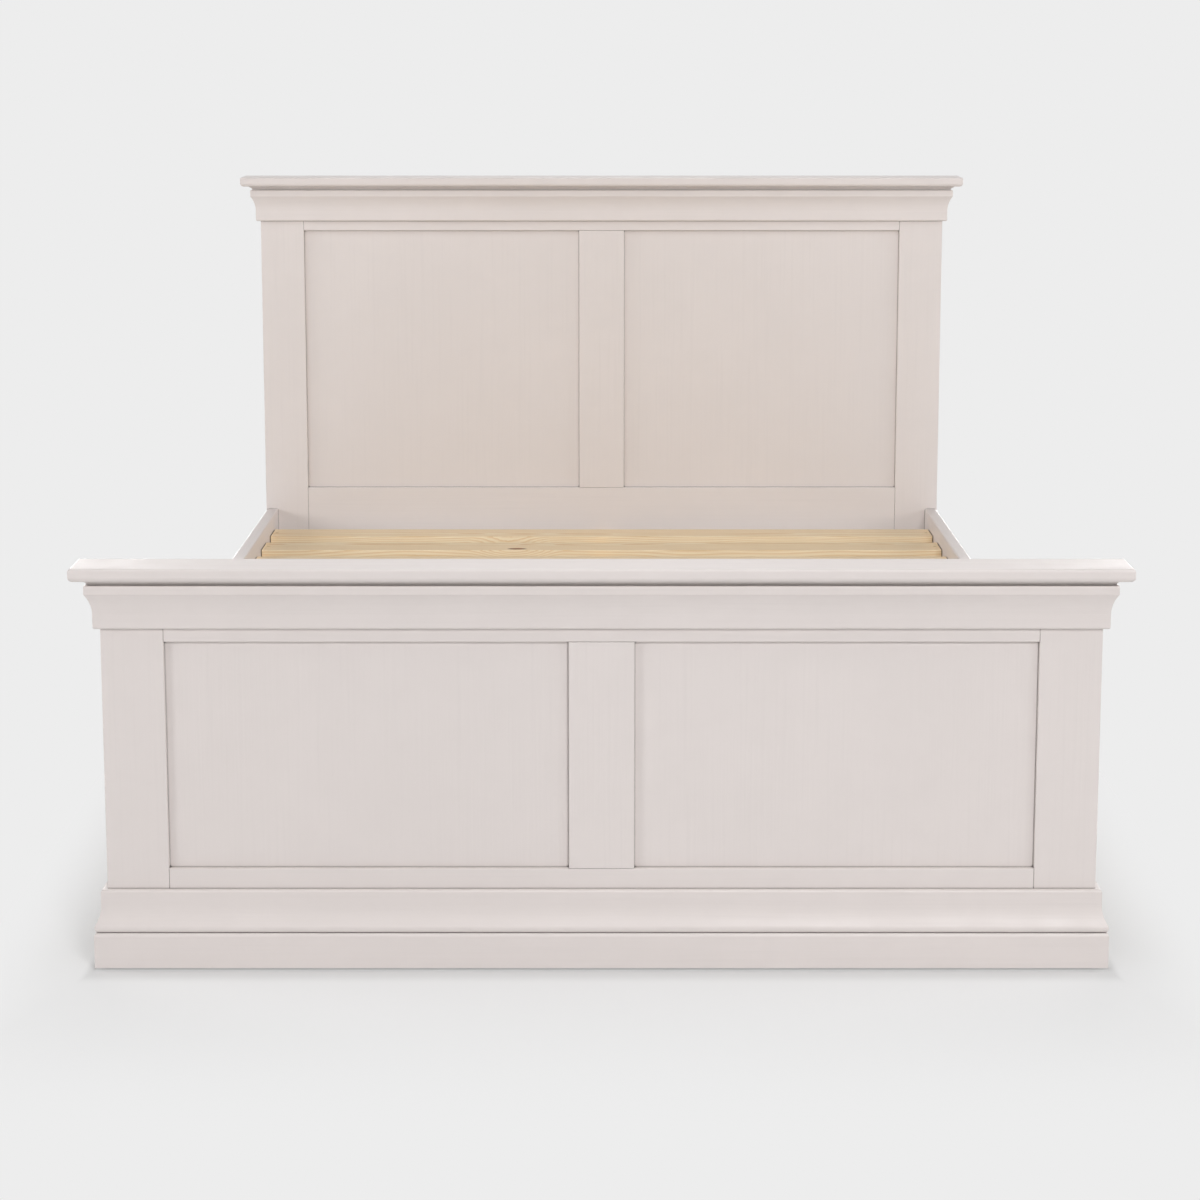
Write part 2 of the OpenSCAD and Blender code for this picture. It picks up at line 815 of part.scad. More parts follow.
// Dowels between the centre rail and its legs. With a gap they are the shape of their holes
module leg_dowels(gap = 0) {
    low = centre_z0 - dowel_in_post - gap;
    for (y = [-1, 1] * leg_spacing / 2) for (dy = [-1, 1] * leg_dowel_y)
        translate([0, y + dy, 0]) dowel(dowel_d / 2 + gap, low, low + dowel_l + 2 * gap);
}

module dowels() {
    color(beech) {
        leg_dowels();
        for (side = [-1, 1]) for (end = [-1, 1]) at_corner(side, end)
            for (z = dowel_z) translate([dowel_x, 0, z]) rotate([-90, 0, 0])
                dowel(dowel_d / 2, -dowel_in_post, dowel_l - dowel_in_post);
    }
}

// Hole for the nail of a glide, up from the origin
module nail_hole() {
    bore(nail_d / 2 + fit, nail_l + 1);
}

// Glide: a disc with a rounded lower edge on a nail
module glide() {
    rotate_extrude() section(0, 0, glide_d / 2, glide_h, [0, 1.5, 0.5, 0]);
    translate([0, 0, glide_h - 1]) cylinder(r = nail_d / 2, h = nail_l + 1);
}

module foot_glides() {
    post_x = board_x - post_w / 2;
    color(plastic) for (side = [-1, 1]) {
        translate([side * post_x, foot_y + post_t / 2, 0]) glide();
        translate([side * post_x, head_y + post_t / 2, 0]) glide();
        translate([side * glide_x, foot_y + rail_t / 2, 0]) glide();
    }
}

post(head_h, head_rail_z0, head_rail_z1, head_y, -1, 1);  // head_left_post
post(head_h, head_rail_z0, head_rail_z1, head_y, 1, 1);  // head_right_post
top_rail(head_h, head_y);  // head_top_rail
head_bottom_rail();
head_muntin();
panel(head_h, head_rail_z1, head_y, -1);  // head_left_panel
panel(head_h, head_rail_z1, head_y, 1);  // head_right_panel
cap(head_h, head_y);  // head_cap
cornice(head_h, head_y, 0);  // head_cornice_front
cornice(head_h, head_y, -1);  // head_cornice_left
cornice(head_h, head_y, 1);  // head_cornice_right
post(foot_h, foot_rail_z0, foot_rail_z1, foot_y, -1, -1);  // foot_left_post
post(foot_h, foot_rail_z0, foot_rail_z1, foot_y, 1, -1);  // foot_right_post
top_rail(foot_h, foot_y);  // foot_top_rail
foot_bottom_rail();
foot_muntin();
panel(foot_h, foot_rail_z1, foot_y, -1);  // foot_left_panel
panel(foot_h, foot_rail_z1, foot_y, 1);  // foot_right_panel
cap(foot_h, foot_y);  // foot_cap
cornice(foot_h, foot_y, 0);  // foot_cornice_front
cornice(foot_h, foot_y, -1);  // foot_cornice_left
cornice(foot_h, foot_y, 1);  // foot_cornice_right
base(0);  // foot_base_front
base(-1);  // foot_base_left
base(1);  // foot_base_right
plinth(0);  // foot_plinth_front
plinth(-1);  // foot_plinth_left
plinth(1);  // foot_plinth_right
side_rail(-1);  // left_side_rail
side_rail(1);  // right_side_rail
slat_ledger(-1);  // left_slat_ledger
slat_ledger(1);  // right_slat_ledger
for (i = [1 : slat_count]) slat(i);
centre_rail();
centre_rail_hangers();
centre_leg(-leg_spacing / 2);  // front_centre_leg
centre_leg(leg_spacing / 2);  // rear_centre_leg
foot_stem(-leg_spacing / 2);  // front_foot_stem
foot_pad(-leg_spacing / 2);  // front_foot_pad
foot_stem(leg_spacing / 2);  // rear_foot_stem
foot_pad(leg_spacing / 2);  // rear_foot_pad
foot_sleeves();
corner_brackets();
bracket_bolts();
threaded_inserts();
pan_screws();
wood_screws();
dowels();
foot_glides();
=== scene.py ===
# Looks of a painted panelled bed frame, built around its CAD frame.
# Metres: +X is to the right seen from the foot end, +Y runs towards the headboard, +Z is up.
import json
import math
import random

import bmesh
import bpy
from mathutils import Matrix, Vector


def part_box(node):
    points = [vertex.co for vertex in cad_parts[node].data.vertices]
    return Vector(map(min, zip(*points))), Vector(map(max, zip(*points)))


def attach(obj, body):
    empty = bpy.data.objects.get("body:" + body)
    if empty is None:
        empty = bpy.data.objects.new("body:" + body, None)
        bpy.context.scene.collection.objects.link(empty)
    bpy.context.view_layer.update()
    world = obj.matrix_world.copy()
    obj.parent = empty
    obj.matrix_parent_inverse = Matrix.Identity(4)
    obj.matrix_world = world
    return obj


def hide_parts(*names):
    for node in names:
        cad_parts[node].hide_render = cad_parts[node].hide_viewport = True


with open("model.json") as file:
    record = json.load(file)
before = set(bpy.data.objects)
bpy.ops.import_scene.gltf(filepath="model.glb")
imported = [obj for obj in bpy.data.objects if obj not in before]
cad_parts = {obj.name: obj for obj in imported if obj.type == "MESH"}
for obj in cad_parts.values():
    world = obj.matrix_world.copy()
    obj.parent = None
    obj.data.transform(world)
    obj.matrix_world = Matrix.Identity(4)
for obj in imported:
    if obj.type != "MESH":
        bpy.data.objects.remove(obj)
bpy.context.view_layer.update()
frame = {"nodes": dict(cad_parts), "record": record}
nodes = frame["nodes"]
slot_of = {part["node"]: part["material_slot"] for part in frame["record"]["subparts"]}
scene = bpy.context.scene
MM = 0.001

# Camera, fitted to the edges of the bed in the photograph
CAMERA_PLACE = (0.0, -5.078, 1.461)
CAMERA_TILT = 9.0
LENS = 79.9
SHIFT_X = -0.0013
SHIFT_Y = -0.12

# Studio. A lamp is a name, its place, where it aims, its width, height and watts
BACKGROUND = 237
AMBIENT = 0.13
LAMPS = [
    ("key", (1.7, -6.0, 3.5), (0.0, -0.6, 0.35), 1.1, 1.1, 144.0),
    ("front left", (-3.85, -3.2, 1.4), (0.0, -0.6, 0.35), 1.2, 1.2, 45.0),
    ("front right", (3.85, -3.2, 1.4), (0.0, -0.6, 0.35), 1.2, 1.2, 25.0),
    ("side left", (-4.3, 0.0, 1.3), (0.0, 0.0, 0.35), 1.4, 1.4, 48.0),
    ("side right", (4.3, 0.0, 1.3), (0.0, 0.0, 0.35), 1.4, 1.4, 42.0),
    ("top", (0.0, -1.8, 4.2), (0.0, -1.2, 0.0), 2.2, 2.2, 52.0),
    ("top rear", (0.0, 2.6, 4.4), (0.0, 1.1, 1.1), 1.6, 1.6, 20.0),
    ("back", (0.0, 4.2, 4.6), (0.0, -1.1, 0.6), 2.4, 2.4, 50.0),
    ("rear left", (-2.4, 5.4, 0.9), (0.0, 1.1, 0.6), 1.2, 1.2, 60.0),
    ("rear right", (2.4, 5.4, 0.9), (0.0, 1.1, 0.6), 1.2, 1.2, 60.0),
]

# Floor
FLOOR_SIDE = 60.0
FLOOR_TONE = 0.86

# Painted shadow: what its tone loses where it is seen, far from the footboard and near to it
FLOOR_PAINTED_SHADOW = 0.07
CONTACT_PAINTED_SHADOW = 0.19
CONTACT_NEAR = 0.02
CONTACT_FAR = 0.06

# The lit floor's share of what shows, under and round the bed and just outside the footboard
FLOOR_SHADE = 0.6
FLOOR_FAR = 0.6
FLOOR_SIDE_FADE = 3.0
EDGE_SHADE = 0.85
EDGE_FAR = 0.12

# Meshes
WELD = 1e-6
STEPS = 24
SMOOTH_UNDER = 35.0

# Screws. X_OF_Y gives X as a share of Y
SEED = 11
PAN_SHANK = 2.5 * MM
WOOD_SHANK = 2.0 * MM
SCREW_PITCH = 1.9 * MM
CORE_OF_SHANK = 0.68
CONE_OF_SHANK = 2.2
RIB_OF_PITCH = 0.4
FOOT_OF_ROOT = 0.97
LEAST_FADE = 0.05
HEAD_EDGE = 0.2 * MM
PAN_HEIGHT_OF_RADIUS = 0.63
PAN_DOME_OF_HEIGHT = 0.45
PAN_DOME_STEPS = 6
NECK_OF_RADIUS = 0.4
COUNTERSINK_OF_RADIUS = 0.6
RECESS_HALF_WIDTH = 0.5 * MM
RECESS_REACH = 2.3 * MM
RECESS_DEPTH = 1.9 * MM
RECESS_LOW_SCALE = 0.45
RECESS_HIGH_SCALE = 1.08

# Levelling feet
STEM_RADIUS = 5.0 * MM
STEM_PITCH = 1.5 * MM
STEM_DEPTH_OF_PITCH = 0.61
STEM_RIB_OF_PITCH = 0.94
SPIGOT_RADIUS = 4.0 * MM
NUT_GAP = 0.3 * MM
NUT_T = 6.0 * MM
NUT_FACE_OF_FLATS = 0.95
CHAMFER = 0.8 * MM


def put_in_scene(name, data):
    """A new object that shows some data."""
    piece = bpy.data.objects.new(name, data)
    scene.collection.objects.link(piece)
    return piece


def linear(red, green, blue):
    """Scene-linear colour of a picture colour given from 0 to 255."""
    shares = [value / 255 for value in (red, green, blue)]
    return (*[s / 12.92 if s <= 0.04045 else ((s + 0.055) / 1.055) ** 2.4 for s in shares], 1.0)


def scaled(colour, factor):
    """A colour made lighter or darker by a factor."""
    return (*[channel * factor for channel in colour[:3]], 1.0)


# Camera
camera_data = bpy.data.cameras.new("camera")
camera_data.lens = LENS
camera_data.shift_x = SHIFT_X
camera_data.shift_y = SHIFT_Y
scene.camera = put_in_scene("camera", camera_data)
scene.camera.location = CAMERA_PLACE
scene.camera.rotation_euler = (math.radians(90 - CAMERA_TILT), 0, 0)


# Node graphs
class Graph:
    """A tree of shader nodes, worked out from places in metres."""

    def __init__(self, tree):
        self.tree = tree

    def add(self, kind, inputs=None, **settings):
        """Adds a node. inputs gives each socket, by name or number, a value or another's output."""
        node = self.tree.nodes.new(kind)
        for name, value in settings.items():
            setattr(node, name, value)
        for name, value in (inputs or {}).items():
            self.put(node.inputs[name], value)
        return node

    def put(self, socket, value):
        """Links an output to a socket, or sets the socket's own value."""
        if isinstance(value, bpy.types.NodeSocket):
            self.tree.links.new(value, socket)
        else:
            socket.default_value = value

    def place(self):
        """The place on the object, in its own frame."""
        return self.add("ShaderNodeTexCoord").outputs["Object"]

    def math(self, operation, first, second=0.0):
        return self.add("ShaderNodeMath", {0: first, 1: second}, operation=operation).outputs[0]

    def total(self, *values):
        """The sum of some values."""
        result = values[0]
        for value in values[1:]:
            result = self.math("ADD", result, value)
        return result

    def times(self, first, second):
        return self.math("MULTIPLY", first, second)

    def minus(self, first, second):
        return self.math("SUBTRACT", first, second)

    def stretch(self, scale, place):
        """A place with each coordinate multiplied by the scale's."""
        node = self.add("ShaderNodeVectorMath", {0: place, 1: scale}, operation="MULTIPLY")
        return node.outputs[0]

    def noise(self, scale, place, detail=2.0):
        """Noise about 0.5 with scale features per metre along X, Y and Z."""
        inputs = {"Vector": self.stretch(scale, place), "Scale": 1.0, "Detail": detail}
        return self.add("ShaderNodeTexNoise", inputs).outputs["Fac"]

    def spread(self, value, low, high, out_low=0.0, out_high=1.0):
        """The value moved smoothly from one range to another, and kept inside it."""
        inputs = {0: value, 1: low, 2: high, 3: out_low, 4: out_high}
        node = self.add("ShaderNodeMapRange", inputs, interpolation_type="SMOOTHSTEP")
        return node.outputs[0]

    def blend(self, factor, first, second):
        """Two colours mixed by a factor. The node's colours are inputs 6 and 7 and output 2."""
        inputs = {0: factor, 6: first, 7: second}
        return self.add("ShaderNodeMix", inputs, data_type="RGBA").outputs[2]

    def bump(self, height, distance, normal=None):
        """A normal bent by a height from 0 to 1 that stands for a distance."""
        node = self.add("ShaderNodeBump", {"Height": height, "Distance": distance})
        if normal:
            self.put(node.inputs["Normal"], normal)
        return node.outputs["Normal"]

    def seen(self):
        """1 for rays that show the scene straight, in a mirror or through glass, else 0."""
        path = self.add("ShaderNodeLightPath").outputs
        looked = self.math("MAXIMUM", path["Is Camera Ray"], path["Is Glossy Ray"])
        return self.math("MAXIMUM", looked, path["Is Transmission Ray"])


def new_material(name):
    """A material and the graph of its nodes."""
    material = bpy.data.materials.new(name)
    material.use_nodes = True
    return material, Graph(material.node_tree)


def surface(material, graph, colour, roughness, normal, metallic=0.0, specular=0.5):
    """Joins a graph to the material's shader."""
    shader = graph.tree.nodes["Principled BSDF"]
    graph.put(shader.inputs["Base Color"], colour)
    graph.put(shader.inputs["Roughness"], roughness)
    graph.put(shader.inputs["Normal"], normal)
    shader.inputs["Metallic"].default_value = metallic
    shader.inputs["Specular IOR Level"].default_value = specular
    return material


def along(grain, lengthwise, across):
    """A scale with one value along the grain and another across it."""
    return tuple(lengthwise if axis == grain else across for axis in "xyz")


# Studio
def light_studio():
    """Soft lamps, and a world that lights evenly and shows the pale background."""
    for name, place, aim, width, height, watts in LAMPS:
        lamp = bpy.data.lights.new(name, "AREA")
        lamp.shape = "RECTANGLE"
        lamp.size = width
        lamp.size_y = height
        lamp.energy = watts
        piece = put_in_scene(name, lamp)
        piece.location = place
        piece.rotation_euler = (Vector(aim) - Vector(place)).to_track_quat("-Z", "Y").to_euler()
    world = bpy.data.worlds.new("studio")
    world.use_nodes = True
    scene.world = world
    g = Graph(world.node_tree)
    shown = g.add("ShaderNodeBackground", {"Color": linear(*[BACKGROUND] * 3), "Strength": 1.0})
    light = world.node_tree.nodes["Background"]
    light.inputs["Color"].default_value = (1.0, 1.0, 1.0, 1.0)
    light.inputs["Strength"].default_value = AMBIENT
    mixed = g.add("ShaderNodeMixShader", {0: g.seen(), 1: light.outputs[0], 2: shown.outputs[0]})
    g.put(world.node_tree.nodes["World Output"].inputs["Surface"], mixed.outputs[0])


def beyond(graph, place, front, rear):
    """How far a place on the floor lies outside a rectangle that is even about the middle. It
    counts for more at the sides, where the lamps fill in the shade."""
    aside = graph.times(graph.total(graph.math("ABSOLUTE", place[0]), front.x), FLOOR_SIDE_FADE)
    behind = graph.minus(place[1], rear)
    return graph.math("MAXIMUM", aside, graph.math("MAXIMUM", graph.minus(front.y, place[1]), behind))


def pale_floor():
    """A floor that takes the bed's shadow, with painted shadow added round the bed and most next to
    the footboard, and fades into the background further out.
    """
    mesh = bmesh.new()
    bmesh.ops.create_grid(mesh, x_segments=1, y_segments=1, size=FLOOR_SIDE / 2)
    data = bpy.data.meshes.new("floor")
    mesh.to_mesh(data)
    mesh.free()
    material, g = new_material("floor")
    material.node_tree.nodes.remove(material.node_tree.nodes["Principled BSDF"])
    split = g.add("ShaderNodeSeparateXYZ", {0: g.place()}).outputs
    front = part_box("foot_plinth_front")[0]
    boards = [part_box(name)[1] for name in ("foot_right_post", "head_right_post")]
    contact, away = [beyond(g, split, front, board.y) for board in boards]
    edge = g.times(g.math("GREATER_THAN", contact, 0.0), EDGE_SHADE)
    edge = g.times(g.spread(contact, 0.0, EDGE_FAR, 1.0, 0.0), edge)
    shade = g.math("MAXIMUM", edge, g.spread(away, 0.0, FLOOR_FAR, FLOOR_SHADE, 0.0))
    seen = g.seen()
    glow = g.times(seen, g.minus(1.0, shade))
    # Painted shadow: the seen tone is darkened, most within a few centimetres of the footboard
    painted_shadow = g.spread(contact, CONTACT_NEAR, CONTACT_FAR, CONTACT_PAINTED_SHADOW, FLOOR_PAINTED_SHADOW)
    tone = g.minus(FLOOR_TONE, g.times(seen, painted_shadow))
    lit = g.add("ShaderNodeBsdfDiffuse", {"Color": tone})
    even = g.add("ShaderNodeEmission", {"Color": linear(*[BACKGROUND] * 3), "Strength": 1.0})
    mixed = g.add("ShaderNodeMixShader", {0: glow, 1: lit.outputs[0], 2: even.outputs[0]})
    g.put(material.node_tree.nodes["Material Output"].inputs["Surface"], mixed.outputs[0])
    data.materials.append(material)
    put_in_scene("floor", data)


# Paint
PAINT = linear(220, 212, 209)
# Painted shade for creases and joints: its dark tone, how far the occlusion looks, and how shut in a
# place must be
CREASE_SHADE = linear(96, 88, 85)
CREASE_SHADE_REACH = 5.0 * MM
CREASE_SHADE_SAMPLES = 8
CREASE_SHADE_SHUT = 0.3
CREASE_SHADE_OPEN = 0.8

# Pine. Knots are measured in cells of their pattern, and the rings and their heart in metres
EARLY_WOOD = linear(240, 222, 191)
LATE_WOOD = linear(221, 186, 140)
WARM_WOOD = linear(232, 206, 166)
WOOD_FIBRE = linear(212, 178, 132)
KNOT_BARK = linear(112, 66, 34)
KNOT_WOOD = linear(150, 93, 52)
KNOT_ABOVE = 0.80
KNOT_BARK_OUT = 0.115
KNOT_BARK_IN = 0.085
KNOT_WOOD_IN = 0.06
KNOT_RAGGED = 0.03
SWIRL_OUT = 0.5
RINGS_PER_METRE = 300.0
RING_SWIRL = 0.016
RING_WAVES = 0.05
HEART_ASIDE = 0.11
HEART_LEAST_DEPTH = 0.02
HEART_MORE_DEPTH = 0.05


# Materials
def painted_wood(grain):
    """Satin paint sprayed on planed wood, whose grain still shows faintly through it, with painted
    shade in its creases.
    """
    material, g = new_material(f"painted_wood_{grain}")
    place = g.place()
    cloud = g.noise((2.3, 2.3, 2.3), place, 3.0)
    patch = g.noise((17.0, 17.0, 17.0), place)
    fibre = g.noise(along(grain, 3.5, 190.0), place, 3.0)
    pore = g.noise(along(grain, 28.0, 900.0), place, 1.0)
    peel = g.noise((420.0, 420.0, 420.0), place, 1.0)
    tone = g.blend(g.spread(cloud, 0.3, 0.7), scaled(PAINT, 0.985), scaled(PAINT, 1.012))
    tone = g.blend(g.spread(patch, 0.35, 0.75, 0.0, 0.5), tone, scaled(PAINT, 0.975))
    tone = g.blend(g.spread(fibre, 0.5, 0.78, 0.0, 0.55), tone, scaled(PAINT, 0.962))

    # Painted shade: the colour darkens towards a dark tone in creases and along joints, where an
    # occlusion node finds the surface shut in
    node = g.add("ShaderNodeAmbientOcclusion", {"Distance": CREASE_SHADE_REACH}, samples=CREASE_SHADE_SAMPLES)
    painted_crease_shade = g.spread(node.outputs["AO"], CREASE_SHADE_SHUT, CREASE_SHADE_OPEN, 1.0, 0.0)
    tone = g.blend(painted_crease_shade, tone, CREASE_SHADE)

    rough = g.spread(g.total(fibre, patch), 0.6, 1.4, 0.40, 0.52)
    normal = g.bump(g.spread(fibre, 0.25, 0.75), 0.07 * MM)
    normal = g.bump(g.spread(pore, 0.55, 0.75), 0.03 * MM, normal)
    normal = g.bump(peel, 0.02 * MM, normal)
    return surface(material, g, tone, rough, normal)


def pine(grain, pitch, first_middle, level):
    """Planed pine: growth rings round a heart that lies elsewhere in each board, and knots.
    Boards follow each other every pitch from first_middle across the grain, level high."""
    material, g = new_material(f"pine_{grain}")
    place = g.place()
    split = g.add("ShaderNodeSeparateXYZ", {0: place}).outputs
    first, second = [split["xyz".index(axis)] for axis in "xyz" if axis != grain]

    # A number for each board gives it tones, a heart and a stretch of wood of its own
    board = g.math("FLOOR", g.math("DIVIDE", g.minus(first, first_middle - pitch / 2), pitch))
    chance = g.add("ShaderNodeTexWhiteNoise", {"W": board}, noise_dimensions="1D").outputs["Color"]
    luck = g.add("ShaderNodeSeparateColor", {0: chance}).outputs
    moved = g.stretch((3.0, 3.0, 3.0), chance)
    place = g.add("ShaderNodeVectorMath", {0: place, 1: moved}, operation="ADD").outputs[0]

    # Knots lie in some cells of a stretched pattern
    scale = along(grain, 4.2, 10.0)
    cells = g.add("ShaderNodeTexVoronoi", {"Vector": g.stretch(scale, place), "Scale": 1.0})
    pick = g.add("ShaderNodeSeparateColor", {0: cells.outputs["Color"]}).outputs[0]
    pick = g.math("GREATER_THAN", pick, KNOT_ABOVE)
    ragged = g.times(g.noise((90.0, 90.0, 90.0), place, 1.0), KNOT_RAGGED)
    distance = g.total(cells.outputs["Distance"], ragged)
    bark = g.times(g.spread(distance, KNOT_BARK_OUT, KNOT_BARK_IN), pick)
    knot = g.times(g.spread(distance, KNOT_BARK_IN, KNOT_WOOD_IN), pick)
    swirl = g.times(g.spread(distance, SWIRL_OUT, KNOT_WOOD_IN), pick)

    # Growth rings run round the heart and bend round the knots
    middle = g.total(g.times(board, pitch), first_middle)
    aside = g.minus(first, g.total(middle, g.times(g.minus(luck[0], 0.5), HEART_ASIDE)))
    depth = g.times(luck[1], HEART_MORE_DEPTH)
    depth = g.total(g.minus(second, level), depth, HEART_LEAST_DEPTH)
    radius = g.math("SQRT", g.total(g.times(aside, aside), g.times(depth, depth)))
    waves = g.times(g.noise(along(grain, 1.3, 6.0), place), RING_WAVES)
    radius = g.total(radius, waves, g.times(swirl, RING_SWIRL))
    ring = g.math("FRACT", g.times(radius, RINGS_PER_METRE))
    late = g.times(g.spread(ring, 0.35, 0.88), g.spread(ring, 1.0, 0.93))

    fibre = g.noise(along(grain, 7.0, 700.0), place)
    tone = g.blend(g.times(late, 0.75), EARLY_WOOD, LATE_WOOD)
    tone = g.blend(g.spread(luck[2], 0.0, 1.0, 0.0, 0.22), tone, WARM_WOOD)
    tone = g.blend(g.spread(fibre, 0.45, 0.75, 0.0, 0.28), tone, WOOD_FIBRE)
    tone = g.blend(g.times(bark, 0.85), tone, KNOT_BARK)
    tone = g.blend(g.times(knot, 0.8), tone, KNOT_WOOD)
    rough = g.spread(fibre, 0.3, 0.7, 0.56, 0.68)
    normal = g.bump(g.spread(fibre, 0.3, 0.7), 0.06 * MM)
    normal = g.bump(late, 0.05 * MM, normal)
    return surface(material, g, tone, rough, normal, specular=0.35)


def plated_steel(name, colour, tint):
    """Zinc-plated steel with the cloudy tint and the drawing marks of its plating."""
    material, g = new_material(name)
    place = g.place()
    cloud = g.noise((120.0, 120.0, 120.0), place, 3.0)
    marks = g.noise((900.0, 900.0, 140.0), place)
    tone = g.blend(g.spread(cloud, 0.35, 0.65), colour, tint)
    tone = g.blend(g.spread(marks, 0.5, 0.8, 0.0, 0.35), tone, scaled(colour, 0.7))
    rough = g.spread(g.total(cloud, marks), 0.7, 1.3, 0.26, 0.44)
    return surface(material, g, tone, rough, g.bump(marks, 0.015 * MM), metallic=1.0)


def black_plastic():
    """Moulded plastic with a fine eroded texture."""
    material, g = new_material("black_plastic")
    place = g.place()
    grain = g.noise((1700.0, 1700.0, 1700.0), place)
    cloud = g.noise((60.0, 60.0, 60.0), place)
    tone = g.blend(g.spread(cloud, 0.3, 0.7), linear(37, 38, 40), linear(46, 47, 49))
    tone = g.blend(g.spread(grain, 0.5, 0.75, 0.0, 0.4), tone, linear(60, 61, 63))
    rough = g.spread(grain, 0.3, 0.7, 0.42, 0.6)
    return surface(material, g, tone, rough, g.bump(grain, 0.05 * MM))


def beech():
    """Turned beech with its short dark flecks."""
    material, g = new_material("beech")
    place = g.place()
    fleck = g.noise((1400.0, 1400.0, 130.0), place, 1.0)
    cloud = g.noise((160.0, 160.0, 30.0), place)
    tone = g.blend(g.spread(cloud, 0.3, 0.7), linear(214, 176, 128), linear(196, 154, 106))
    tone = g.blend(g.spread(fleck, 0.58, 0.7, 0.0, 0.6), tone, linear(142, 98, 60))
    rough = g.spread(fleck, 0.3, 0.7, 0.5, 0.62)
    return surface(material, g, tone, rough, g.bump(fleck, 0.04 * MM))


def grain_of(name):
    """The axis along which the grain of a painted or pine piece runs."""
    if name.endswith(("_post", "_muntin", "_panel", "_leg")):
        return "z"
    if name.endswith(("_side_rail", "_ledger", "_left", "_right", "centre_rail")):
        return "y"
    return "x"


def middle_of(name):
    """The middle of a CAD node's box."""
    low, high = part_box(name)
    return (low + high) / 2


paints = {grain: painted_wood(grain) for grain in "xyz"}
slat_pitch = middle_of("slat_02").y - middle_of("slat_01").y
rail_pitch = middle_of("right_slat_ledger").x
pines = {
    "x": pine("x", slat_pitch, middle_of("slat_01").y, middle_of("slat_01").z),
    "y": pine("y", rail_pitch, 0.0, middle_of("right_slat_ledger").z),
    "z": pine("z", rail_pitch, 0.0, 0.0),
}
plain = {
    "zinc_steel": plated_steel("zinc_steel", linear(196, 198, 201), linear(178, 183, 190)),
    "yellow_zinc": plated_steel("yellow_zinc", linear(208, 178, 104), linear(190, 172, 118)),
    "black_plastic": black_plastic(),
    "beech": beech(),
}


def material_of(name):
    """The material of a CAD node, from its slot and its grain."""
    slot = slot_of[name]
    by_grain = {"painted_wood": paints, "pine": pines}.get(slot)
    return by_grain[grain_of(name)] if by_grain else plain[slot]


def dress_frame():
    """Gives every CAD node its material."""
    for name, node in nodes.items():
        for slot in node.material_slots:
            slot.material = material_of(name)


# Mesh building
def new_piece(mesh, name, material):
    """A new object from a bmesh, which it frees. Sharp edges stay sharp."""
    data = bpy.data.meshes.new(name)
    bmesh.ops.recalc_face_normals(mesh, faces=mesh.faces)
    mesh.to_mesh(data)
    mesh.free()
    data.shade_smooth()
    data.set_sharp_from_angle(angle=math.radians(SMOOTH_UNDER))
    data.materials.append(material)
    return put_in_scene(name, data)


def circle(mesh, radius, height, steps):
    """Points round Z, or one point on it."""
    if radius == 0:
        return [mesh.verts.new((0, 0, height))]
    turns = [2 * math.pi * step / steps for step in range(steps)]
    return [mesh.verts.new((radius * math.cos(a), radius * math.sin(a), height)) for a in turns]


def lathe(mesh, profile, steps=STEPS):
    """Revolves (radius, height) points about Z. The first and last lie on the axis."""
    rings = [circle(mesh, radius, height, steps) for radius, height in profile]
    for low, high in zip(rings, rings[1:]):
        for step in range(steps):
            following = (step + 1) % steps
            corners = [low[step % len(low)], low[following % len(low)],
                       high[following % len(high)], high[step % len(high)]]
            mesh.faces.new(list(dict.fromkeys(corners)))


def prism(mesh, outline, low, high):
    """Solid between two heights. low and high are (height, scale) of the outline there."""
    layers = []
    for height, scale in (low, high):
        layers.append([mesh.verts.new((x * scale, y * scale, height)) for x, y in outline])
    mesh.faces.new(layers[0][::-1])
    mesh.faces.new(layers[1])
    for index in range(len(outline)):
        following = (index + 1) % len(outline)
        mesh.faces.new([layers[0][index], layers[0][following], layers[1][following],
                        layers[1][index]])


def thread(mesh, root, rise, pitch, base, low, high, steps=STEPS):
    """A right-hand thread wound up a core: a closed rib of triangular section that fades out over
    its first and last turn. root gives the core's radius at a height."""
    count = int((high - low - base) / pitch * steps)
    ribs = []
    for step in range(count + 1):
        angle = 2 * math.pi * step / steps
        height = low + pitch * step / steps
        fade = max(LEAST_FADE, min(1.0, step / steps, (count - step) / steps))
        foot = FOOT_OF_ROOT * root(height)
        tip = root(height) + rise * fade
        spots = [(foot, height), (tip, height + base / 2), (foot, height + base)]
        ribs.append([mesh.verts.new((r * math.cos(angle), r * math.sin(angle), z))
                     for r, z in spots])
    for here, there in zip(ribs, ribs[1:]):
        for corner in range(3):
            following = (corner + 1) % 3
            mesh.faces.new([here[corner], there[corner], there[following], here[following]])
    mesh.faces.new(ribs[0])
    mesh.faces.new(ribs[-1][::-1])


def combined(mesh, tool, operation):
    """The solid of one bmesh cut by, or kept inside, that of another. It frees both."""
    body, other = [new_piece(m, "scrap", None) for m in (mesh, tool)]
    change = body.modifiers.new("change", "BOOLEAN")
    change.operation = operation
    change.solver = "EXACT"
    change.object = other
    result = bmesh.new()
    result.from_object(body, bpy.context.evaluated_depsgraph_get())
    for spent in (body, other):
        bpy.data.meshes.remove(spent.data)
    return result


